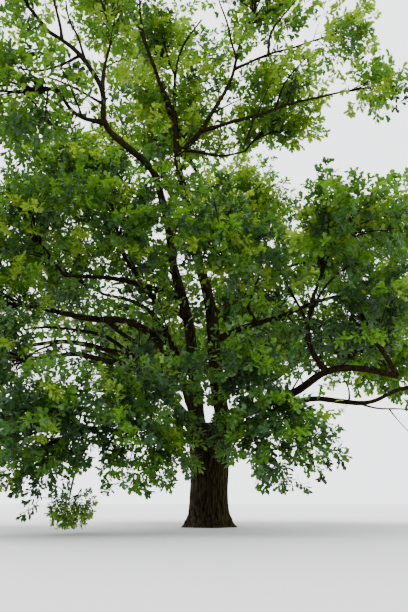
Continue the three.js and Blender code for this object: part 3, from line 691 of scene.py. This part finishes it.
def main_twigs(spaces, limbs):
    """Twigs that fan out from each stem: those of the solids first, then more between them."""
    rows = []
    for mass in range(len(spaces.names)):
        reach, tall, stem = spaces.reach[mass], spaces.tall[mass], spaces.stems[mass]
        foot, head = spaces.roots[mass], spaces.heads[mass]
        back = min(FORKS_BACK * reach, FORKS_CLEAR * np.linalg.norm(head - foot))
        first = max(TWIGS_LEAST, round(TWIGS_PER_REACH * reach))
        more = round(EXTRA_TWIGS * reach * tall / spaces.fine[mass] ** 2)
        for shift, count, shares in ((0, first, TWIG_REACHES), (0.5, more, EXTRA_REACHES)):
            for i in range(count):
                turn = 2 * math.pi * (GOLDEN * (i + 1 + shift) + MASS_TURN * mass)
                high = 1 - 2 * (i + 0.5) / count
                level = math.sqrt(1 - high * high)
                out = np.array([math.cos(turn) * level, math.sin(turn) * level, high])
                out = unit(out + TWIG_LEAN * stem)
                start = head - stem * back * fraction(FORK_SHIFT + GOLDEN * (i + shift))
                rim = out * np.array([reach, reach, tall])
                tilt = FAN_TILT * (2 * fraction(TILT_SHIFT + GOLDEN * (i + mass)) - 1)
                for share in shares[i % len(shares):] if shift else shares:
                    end = head + rim * share
                    way = start + (end - start) * np.linspace(*TWIG_TESTED)[:, None]
                    inside = spaces.hold(end[None], np.array([mass]), np.array([False]))[0]
                    if inside and clear_of(way, limbs, LIMB_CLEAR).all():
                        rows.append((start, end, mass, tilt))
                        break
    start, end, mass, tilt = (np.array(column) for column in zip(*rows))
    length = np.linalg.norm(end - start, axis=1)[:, None]
    bend = arched(start, end, length, TWIG_ARCH)
    thick = np.array(MAIN_THICK)[None] * np.clip(length / MAIN_LENGTH, *MAIN_SHARES)
    free = np.zeros(len(mass), bool)
    return Twigs(start, bend, end, thick, mass, free, np.radians(tilt), np.arange(len(mass)))


def branch_twigs(spaces, limbs, dice):
    """Branches along the boughs, each turned on from the last, which fill the crown between the masses."""
    rows = []
    for name, (line, thick) in limbs.items():
        if name in spaces.names:
            run = WALK * (len(line) - 1)
            for i, s in enumerate(np.arange(BRANCHED[0] * run, BRANCHED[1] * run, BRANCH_STEP)):
                step = round(s / WALK)
                ahead = unit(line[step + 1] - line[step - 1])
                level = unit(np.cross([0, 0, 1], ahead))
                around = 2 if ahead[2] > UPRIGHT else BRANCH_AROUND
                turn = math.pi * (0.5 + around * (fraction(GOLDEN * i) - 0.5))
                turn += dice.uniform(-BRANCH_SWAY, BRANCH_SWAY)
                out = math.cos(turn) * level + math.sin(turn) * np.cross(ahead, level)
                splay = math.radians(BRANCH_SPLAY * dice.uniform(*VARIED))
                way = unit(math.cos(splay) * ahead + math.sin(splay) * out + np.array([0, 0, BRANCH_RISE]))
                long = np.interp(s / run, BRANCHED, BRANCH_LENGTH) * dice.uniform(*VARIED)
                rows.append((line[step], way, long, spaces.names.index(name), turn))
    start, way, long, mass, tilt = (np.array(column) for column in zip(*rows))
    long = long[:, None]
    end = start + way * long
    free = np.ones(len(mass), bool)
    inner = [start + way * long * share for share in BRANCH_TESTED]
    keep = spaces.hold(end, mass, free) & np.all([clear_of(spot, limbs, LIMB_CLEAR) for spot in inner], 0)
    bend = arched(start, end, long, BRANCH_ARCH)
    thick = np.array(BRANCH_THICK)[None] * np.clip(long / BRANCH_LENGTH[0], THIN_SHARE, 1)
    return Twigs(start, bend, end, thick, mass, free, tilt, np.arange(len(mass))).some(keep)


def fork(parents, spaces, limbs, dice, *, step, first, splay, spread, length, fade, thick, droop, own_spray):
    """Twigs that leave their parents side by side, with one more on each end, where they fit."""
    steps = step * spaces.fine[parents.mass]
    counts = np.maximum(1, np.floor((1 - first) * parents.length() / steps).astype(int)) + 1
    which = np.repeat(np.arange(len(counts)), counts)
    order = np.arange(len(which)) - np.repeat(np.cumsum(counts) - counts, counts)
    last = order == counts[which] - 1
    strays = dice.uniform(-PLACE_SWAY, PLACE_SWAY, len(which))
    t = first + (1 - first) * (order + strays) / (counts[which] - 1)
    t = np.where(last, 1.0, np.clip(t, first, LAST_PLACE))
    start, ahead = parents.at(which, t), parents.ahead(which, t)
    level = unit(np.cross([0, 0, 1], ahead) + 1e-6)
    up = np.cross(ahead, level)
    turn = parents.tilt[which] + math.pi * (order % 2) + dice.uniform(-spread, spread, len(which))
    out = np.cos(turn)[:, None] * level + np.sin(turn)[:, None] * up
    angle = np.where(last, END_SPLAY, np.radians(splay) * dice.uniform(*VARIED, len(which)))
    ahead = np.cos(angle)[:, None] * ahead + np.sin(angle)[:, None] * out
    ahead = unit(ahead + np.array([0, 0, droop]))
    long = length * (1 - fade * t) * dice.uniform(*LENGTH_VARIED, len(which))
    mass, free = parents.mass[which], parents.free[which]
    size = np.zeros(len(which))
    for share in SIZES:
        tip = start + ahead * (long * share)[:, None]
        fits = (size == 0) & spaces.hold(tip, mass, free)
        fits[fits] = clear_of(tip[fits], limbs, LIMB_CLEAR / 2)
        size[fits] = share
    long = (long * size)[:, None]
    end = start + ahead * long
    bend = arched(start, end, long, -0.5 * droop)
    thick = np.array(thick)[None] * np.clip(long / length, THIN_SHARE, 1)
    tilt = turn + dice.uniform(-TILT_SWAY, TILT_SWAY, len(which))
    spray = np.arange(len(which)) if own_spray else parents.spray[which]
    return Twigs(start, bend, end, thick, mass, free, tilt, spray).some(size > 0)


def twig_forms(twigs, sides, cuts):
    """Closed tapering forms: rings of a few points at each cut, and a point at the end."""
    count = len(twigs.start)
    which = np.arange(count)
    turn = 2 * math.pi * np.arange(sides) / sides
    rings = []
    for t in np.linspace(0, 1, cuts + 1)[:-1]:
        place = np.full(count, t)
        middle, ahead = twigs.at(which, place), twigs.ahead(which, place)
        side = unit(np.cross(ahead, NO_TWIGS_WAY))
        up = np.cross(side, ahead)
        half = (twigs.thick[:, 0] + (twigs.thick[:, 1] - twigs.thick[:, 0]) * t)[:, None] / 2
        for k in range(sides):
            rings.append(middle + half * (math.cos(turn[k]) * side + math.sin(turn[k]) * up))
    points = np.stack([*rings, twigs.end], 1)
    faces = []
    for ring in range(cuts - 1):
        for k in range(sides):
            a, b = ring * sides + k, ring * sides + (k + 1) % sides
            faces += [(a, a + sides, b), (b, a + sides, b + sides)]
    tip, foot = cuts * sides, (cuts - 1) * sides
    faces += [(foot + k, tip, foot + (k + 1) % sides) for k in range(sides)]
    faces += [(0, k, k + 1) for k in range(1, sides - 1)]
    faces = np.array(faces)[None] + (np.arange(count) * (tip + 1))[:, None, None]
    return points.reshape(-1, 3), faces.reshape(-1, 3)


# Leaves in their own outlines: the corners along, across and up from the leaf's foot, beside its length, and
# the faces between them. The nearer leaves are lobed, the others a wavy shape in fewer faces.

LOBED_LEAF = (
    [(0.0, 0.0, 0.0), (0.36, 0.17, 0.03), (0.32, -0.18, 0.03), (0.5, 0.1, 0.02), (0.47, -0.1, 0.02),
     (0.74, 0.27, 0.0), (0.7, -0.26, 0.0), (1.0, 0.0, -0.09)],
    [(0, 2, 1), (1, 2, 4), (1, 4, 3), (3, 4, 6), (3, 6, 5), (5, 6, 7)])
PLAIN_LEAF = (
    [(0.0, 0.0, 0.0), (0.42, 0.16, 0.04), (0.38, -0.16, 0.04), (0.78, 0.24, 0.0), (0.72, -0.24, 0.0),
     (1.0, 0.0, -0.09)],
    [(0, 2, 1), (1, 2, 4), (1, 4, 3), (3, 4, 5)])


class Leaves:
    """Where each leaf starts, its three directions, its length, and the spray and mass that it belongs to."""

    def __init__(self, shoots, spaces, limbs, dice):
        count = len(shoots.start)
        which = np.repeat(np.arange(count), len(LEAF_PLACES))
        order = np.tile(np.arange(len(LEAF_PLACES)), count)
        place = np.tile(np.array(LEAF_PLACES), count)
        root, along = shoots.at(which, place), shoots.ahead(which, place)
        level = unit(np.cross([0, 0, 1], along) + 1e-6)
        up = np.cross(along, level)
        turn = LEAF_TURN * order + shoots.tilt[which]
        turn += dice.uniform(-LEAF_TURN_SWAY, LEAF_TURN_SWAY, len(which))
        out = np.cos(turn)[:, None] * level + np.sin(turn)[:, None] * up
        splay = np.radians(LEAF_SPLAY) * dice.uniform(*LEAF_SPLAY_VARIED, len(which))
        ahead = np.cos(splay)[:, None] * along + np.sin(splay)[:, None] * out
        ahead = unit(ahead + np.array([0, 0, -LEAF_DROOP]) + dice.normal(0, LEAF_SWAY, (len(which), 3)))
        facing = np.array([0, 0, LEAF_UP]) + dice.normal(0, LEAF_TOSS, (len(which), 3))
        side = unit(np.cross(facing, ahead))
        length = dice.uniform(*LEAF_LENGTH, len(which)) * spaces.leaf[shoots.mass[which]]
        kept = root[:, 2] + length * np.minimum(ahead[:, 2], 0) > LOWEST
        kept &= ~spaces.heart(root, shoots.mass[which])
        spared = dice.uniform(size=len(which)) < SHOWN_KEPT
        kept &= spared | ~hides_limb(root + 0.5 * length[:, None] * ahead, limbs)
        self.root, self.length = root[kept], length[kept]
        self.axes = np.stack([ahead, side, np.cross(ahead, side)], 1)[kept]
        self.spray, self.mass = shoots.spray[which][kept], shoots.mass[which][kept]

    def forms(self, which, outline):
        shape, faces = np.array(outline[0]), np.array(outline[1])
        points = self.root[which][:, None] + self.length[which][:, None, None] * (shape @ self.axes[which])
        faces = faces[None] + (np.arange(len(points)) * len(shape))[:, None, None]
        return points.reshape(-1, 3), faces.reshape(-1, 3)


# Materials


def node_material(name):
    material = bpy.data.materials.new(name)
    material.use_nodes = True
    nodes, links = material.node_tree.nodes, material.node_tree.links
    return material, nodes, links, nodes["Principled BSDF"]


def leaf_material(name, colour, glow):
    """A leaf's green, with the light that glows through the leaf."""
    material, nodes, links, shader = node_material(name)
    shader.inputs["Base Color"].default_value = (*colour, 1)
    shader.inputs["Roughness"].default_value = 0.42
    shader.inputs["Specular IOR Level"].default_value = 0.35
    through = nodes.new("ShaderNodeBsdfTranslucent")
    through.inputs["Color"].default_value = (*glow, 1)
    mix = nodes.new("ShaderNodeMixShader")
    mix.inputs["Fac"].default_value = 0.4
    links.new(shader.outputs["BSDF"], mix.inputs[1])
    links.new(through.outputs["BSDF"], mix.inputs[2])
    links.new(mix.outputs["Shader"], nodes["Material Output"].inputs["Surface"])
    return material


def grained(nodes, links, grain, dark, light):
    """The grain's noise turned into a colour between two."""
    ramp = nodes.new("ShaderNodeValToRGB")
    ramp.color_ramp.elements[0].position = 0.36
    ramp.color_ramp.elements[0].color = (*dark, 1)
    ramp.color_ramp.elements[1].position = 0.66
    ramp.color_ramp.elements[1].color = (*light, 1)
    links.new(grain.outputs["Fac"], ramp.inputs["Fac"])
    return ramp.outputs["Color"]


def share_between(nodes, links, value, first, last, most):
    """A share that rises from 0 where the value is `first` to `most` where it is `last`."""
    span = nodes.new("ShaderNodeMapRange")
    span.inputs["From Min"].default_value = first
    span.inputs["From Max"].default_value = last
    span.inputs["To Max"].default_value = most
    links.new(value, span.inputs["Value"])
    return span.outputs["Result"]


def mixed(nodes, links, share, under, over):
    """A share of one colour over another."""
    mix = nodes.new("ShaderNodeMix")
    mix.data_type = "RGBA"
    links.new(share, mix.inputs["Factor"])
    links.new(under, mix.inputs["A"])
    links.new(over, mix.inputs["B"])
    return mix.outputs["Result"]


def bark_material(name, scale, sides):
    """Dark brown bark with patches of moss. With `sides` it is greyer at the left and mossy at the right."""
    material, nodes, links, shader = node_material(name)
    place = nodes.new("ShaderNodeTexCoord")
    stretch = nodes.new("ShaderNodeMapping")
    stretch.inputs["Scale"].default_value = (1, 1, 0.16)
    grain = nodes.new("ShaderNodeTexNoise")
    grain.inputs["Scale"].default_value = scale
    grain.inputs["Detail"].default_value = 6
    blotch = nodes.new("ShaderNodeTexNoise")
    blotch.inputs["Scale"].default_value = 1.7
    blotch.inputs["Detail"].default_value = 3
    across = nodes.new("ShaderNodeSeparateXYZ")
    bump = nodes.new("ShaderNodeBump")
    bump.inputs["Strength"].default_value = 0.8
    bump.inputs["Distance"].default_value = 0.02
    links.new(place.outputs["Object"], stretch.inputs["Vector"])
    links.new(place.outputs["Object"], blotch.inputs["Vector"])
    links.new(place.outputs["Object"], across.inputs["Vector"])
    links.new(stretch.outputs["Vector"], grain.inputs["Vector"])
    brown = grained(nodes, links, grain, (0.0009, 0.0007, 0.0003), (0.026, 0.019, 0.0085))
    moss = grained(nodes, links, grain, (0.0018, 0.0018, 0.0005), (0.037, 0.036, 0.011))
    patches = share_between(nodes, links, blotch.outputs["Fac"], 0.52, 0.7, 0.6)
    colour = mixed(nodes, links, patches, brown, moss)
    if sides:
        grey = grained(nodes, links, grain, (0.004, 0.003, 0.0018), (0.052, 0.041, 0.026))
        left = share_between(nodes, links, across.outputs["X"], -0.1, -0.45, 0.9)
        colour = mixed(nodes, links, left, colour, grey)
        right = share_between(nodes, links, across.outputs["X"], 0.25, 0.5, 0.8)
        colour = mixed(nodes, links, right, colour, moss)
    links.new(colour, shader.inputs["Base Color"])
    links.new(grain.outputs["Fac"], bump.inputs["Height"])
    links.new(bump.outputs["Normal"], shader.inputs["Normal"])
    shader.inputs["Roughness"].default_value = 0.95
    shader.inputs["Specular IOR Level"].default_value = 0.02
    return material


# Each green: its name, its own colour and the colour of the light through it
# leaf_blue's bluer tint is partly a painted sky reflection; otherwise the greens differ from spray to spray
# as leaves do.
# leaf_deep and leaf_blue are partly painted shade: their very dark colours stand in for the shade inside the
# crown.
LEAF_COLOURS = [
    ("leaf_deep", (0.008, 0.026, 0.006), (0.022, 0.07, 0.005)),
    ("leaf_blue", (0.027, 0.063, 0.020), (0.05, 0.15, 0.014)),
    ("leaf_mid", (0.036, 0.088, 0.010), (0.10, 0.25, 0.010)),
    ("leaf_fresh", (0.052, 0.130, 0.007), (0.16, 0.35, 0.007)),
    ("leaf_light", (0.112, 0.198, 0.016), (0.32, 0.48, 0.018)),
]

# How the greens are dealt out, spray by spray: the share of each in the low front, the middle and the top of
# the crown and in the spray that hangs down. The top's lighter greens are painted light, the sky's glow
# through the leaves, and the hanging spray's lighter greens are painted light too. The low front's deep and
# bluer greens are painted shade with a painted sky reflection. The top's left side is as dark as the middle,
# in painted shade.
TOP_ABOVE = 10  # height of the middle of a mass that counts as the top
LOW_BELOW = 5
FRONT_BEYOND = -1
# Masses of the top that stand left of this get the middle's darker greens as painted shade.
SHADED_LEFT = -4
# The low front leans to the deep and blue greens as painted shade and a painted sky reflection.
LOW_FRONT = (0.2, 0.28, 0.33, 0.15, 0.04)
MIDDLE = (0.09, 0.17, 0.31, 0.28, 0.15)
# The top leans to the light greens as painted light.
TOP = (0.02, 0.05, 0.17, 0.34, 0.42)
# The hanging spray leans to the fresh and light greens as painted light.
HANGING = (0.03, 0.08, 0.3, 0.36, 0.23)

# Each piece of foliage: its leaves' outline, how close its twigs stand and how long its leaves are beside the
# numbers above, and its masses
REGIONS = {
    "top": (PLAIN_LEAF, 1.0, 1.0, (
        "leader_left", "leader_right", "upper_left_top", "top_mid", "upper_right", "right_tip")),
    "high": (PLAIN_LEAF, 1.0, 1.08, ("upper_left_mid", "right_mid", "right_hang", "back_top", "back_mid")),
    "far": (PLAIN_LEAF, 1.0, 1.15, (
        "back_left_mid", "left_rising", "left_long", "right_far", "back_right_mid")),
    "back": (PLAIN_LEAF, 1.0, 1.2, ("back_right_low", "back_low", "back_left_low")),
    "left": (LOBED_LEAF, 0.94, 1.0, ("left_high", "left_up", "left_middle", "left_low")),
    "right": (LOBED_LEAF, 0.94, 1.0, ("right_level", "right_low", "right_riser", "front_high")),
    "front": (LOBED_LEAF, 0.8, 0.86, ("front_mid", "front_low_right", "front_low_mid", "front_low_left")),
    "hanging": (LOBED_LEAF, 0.45, 0.5, ("hanging",)),
}


def dealt_greens(spaces, leaves, dice):
    """A green for each leaf, the same for a whole spray, by where its mass stands."""
    x, y, z = spaces.heads[leaves.mass].T
    # Painted light at the top and in the hanging spray, painted shade and a painted sky reflection in the low
    # front.
    top = z >= TOP_ABOVE
    low_front = (y < FRONT_BEYOND) & (z < LOW_BELOW)
    hanging = leaves.mass == spaces.names.index("hanging")
    pick = dice.uniform(size=leaves.spray.max() + 1)[leaves.spray]
    greens = np.zeros(len(pick), int)
    # darker: the middle's greens, and painted shade at the top's left side.
    darker = ~top | (x < SHADED_LEFT)
    for zone, odds in ((top, TOP), (darker, MIDDLE), (low_front, LOW_FRONT), (hanging, HANGING)):
        greens[zone] = np.searchsorted(np.cumsum(odds)[:-1], pick[zone])
    return greens


# The pieces


def make_trunk():
    points, faces = trunk_mesh()
    bark = bark_material("bark_old", scale=26, sides=True)
    trunk = mesh_object("bark_trunk", points, faces, [bark], smooth=True)
    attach(trunk, "root")
    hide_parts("trunk")


def make_boughs(limbs, bark):
    """The bark of the boughs that the solids have, and that of the smaller ones."""
    for piece_name, rows, seed in (("bark_boughs", BOUGHS, 40), ("bark_small_boughs", SMALL_BOUGHS, 80)):
        pile = Pile()
        for order, (name, (parent, at, thick, _)) in enumerate(rows.items()):
            parent_line, parent_thick = limbs[parent]
            half = width_at(parent_thick, at / WALK / (len(parent_line) - 1)) / 2
            pile.add(*bough_mesh(limbs[name][0], thick, half, seed + order))
        boughs = mesh_object(piece_name, *pile.arrays(), [bark], smooth=True)
        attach(boughs, "root")
        if rows is BOUGHS:
            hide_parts(*BOUGHS)


def grow(spaces, limbs):
    """All the twigs from the stems outwards, the leaves on them, and each leaf's green."""
    dice = np.random.default_rng(SEED)
    stems = stem_twigs(spaces)
    mains = main_twigs(spaces, limbs).joined(branch_twigs(spaces, limbs, dice))
    sides = fork(mains, spaces, limbs, dice, step=SIDE_STEP, first=0.22, splay=50, spread=0.7,
                 length=SIDE_LENGTH, fade=0.35, thick=SIDE_THICK, droop=0.0, own_spray=True)
    shoots = fork(sides, spaces, limbs, dice, step=SHOOT_STEP, first=0.2, splay=48, spread=0.6,
                  length=SHOOT_LENGTH, fade=0.3, thick=SHOOT_THICK, droop=0.05, own_spray=False)
    leaves = Leaves(shoots, spaces, limbs, dice)
    return (stems, mains, sides, shoots), leaves, dealt_greens(spaces, leaves, dice)


def make_foliage(limbs, bark):
    """The leaves and the twigs of each region, a piece for each."""
    spaces = Spaces(limbs)
    ranks, leaves, greens = grow(spaces, limbs)
    materials = [leaf_material(*colour) for colour in LEAF_COLOURS]
    for region, (outline, _, _, members) in REGIONS.items():
        numbers = [spaces.names.index(member) for member in members]
        inside = np.flatnonzero(np.isin(leaves.mass, numbers))
        slots = np.repeat(greens[inside], len(outline[1]))
        piece = mesh_object("leaves_" + region, *leaves.forms(inside, outline), materials, slots)
        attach(piece, "root")
        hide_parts(*(member + "_foliage" for member in members))
        pile = Pile()
        for twigs, (around, cuts) in zip(ranks, TWIG_FACES):
            pile.add(*twig_forms(twigs.some(np.isin(twigs.mass, numbers)), around, cuts))
        wood = mesh_object("twigs_" + region, *pile.arrays(), [bark], smooth=True)
        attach(wood, "root")


FLOOR_HALF = 300


def floor_material():
    material, _, _, shader = node_material("pale_floor")
    shader.inputs["Base Color"].default_value = (0.52, 0.52, 0.5, 1)
    shader.inputs["Roughness"].default_value = 0.9
    return material


def make_floor():
    corners = FLOOR_HALF * np.array([(-1, -1, 0), (1, -1, 0), (1, 1, 0), (-1, 1, 0)])
    floor = mesh_object("floor", corners, np.array([(0, 1, 2, 3)]), [floor_material()])


def make_light():
    """A bright pale sky, and a soft sun high up at the left, beyond the tree."""
    world = bpy.data.worlds.new("studio")
    bpy.context.scene.world = world
    world.use_nodes = True
    world.node_tree.nodes["Background"].inputs["Color"].default_value = (0.94, 0.96, 1.0, 1)
    world.node_tree.nodes["Background"].inputs["Strength"].default_value = 3.2
    sun = bpy.data.lights.new("key", "SUN")
    sun.energy = 4.5
    sun.angle = math.radians(30)
    lamp = bpy.data.objects.new("key", sun)
    lamp.rotation_euler = (math.radians(-24), math.radians(-18), 0)
    bpy.context.scene.collection.objects.link(lamp)


def make_camera():
    lens = bpy.data.cameras.new("photo")
    lens.sensor_fit = "HORIZONTAL"
    lens.sensor_width = SENSOR
    lens.lens = SENSOR * FOCAL_PIXELS / PHOTO_WIDTH
    lens.clip_end = 800
    camera = bpy.data.objects.new("photo", lens)
    pitch = math.atan((HORIZON_PIXEL - PHOTO_HEIGHT / 2) / FOCAL_PIXELS)
    place = Matrix.Translation((CAMERA_SIDE, -CAMERA_AWAY, EYE_HEIGHT))
    camera.matrix_world = place @ Matrix.Rotation(math.pi / 2 + pitch, 4, "X")
    bpy.context.scene.collection.objects.link(camera)
    bpy.context.scene.camera = camera


limbs = limb_lines()
young_bark = bark_material("bark_young", scale=42, sides=False)
make_trunk()
make_boughs(limbs, young_bark)
make_foliage(limbs, young_bark)
make_floor()
make_light()
make_camera()
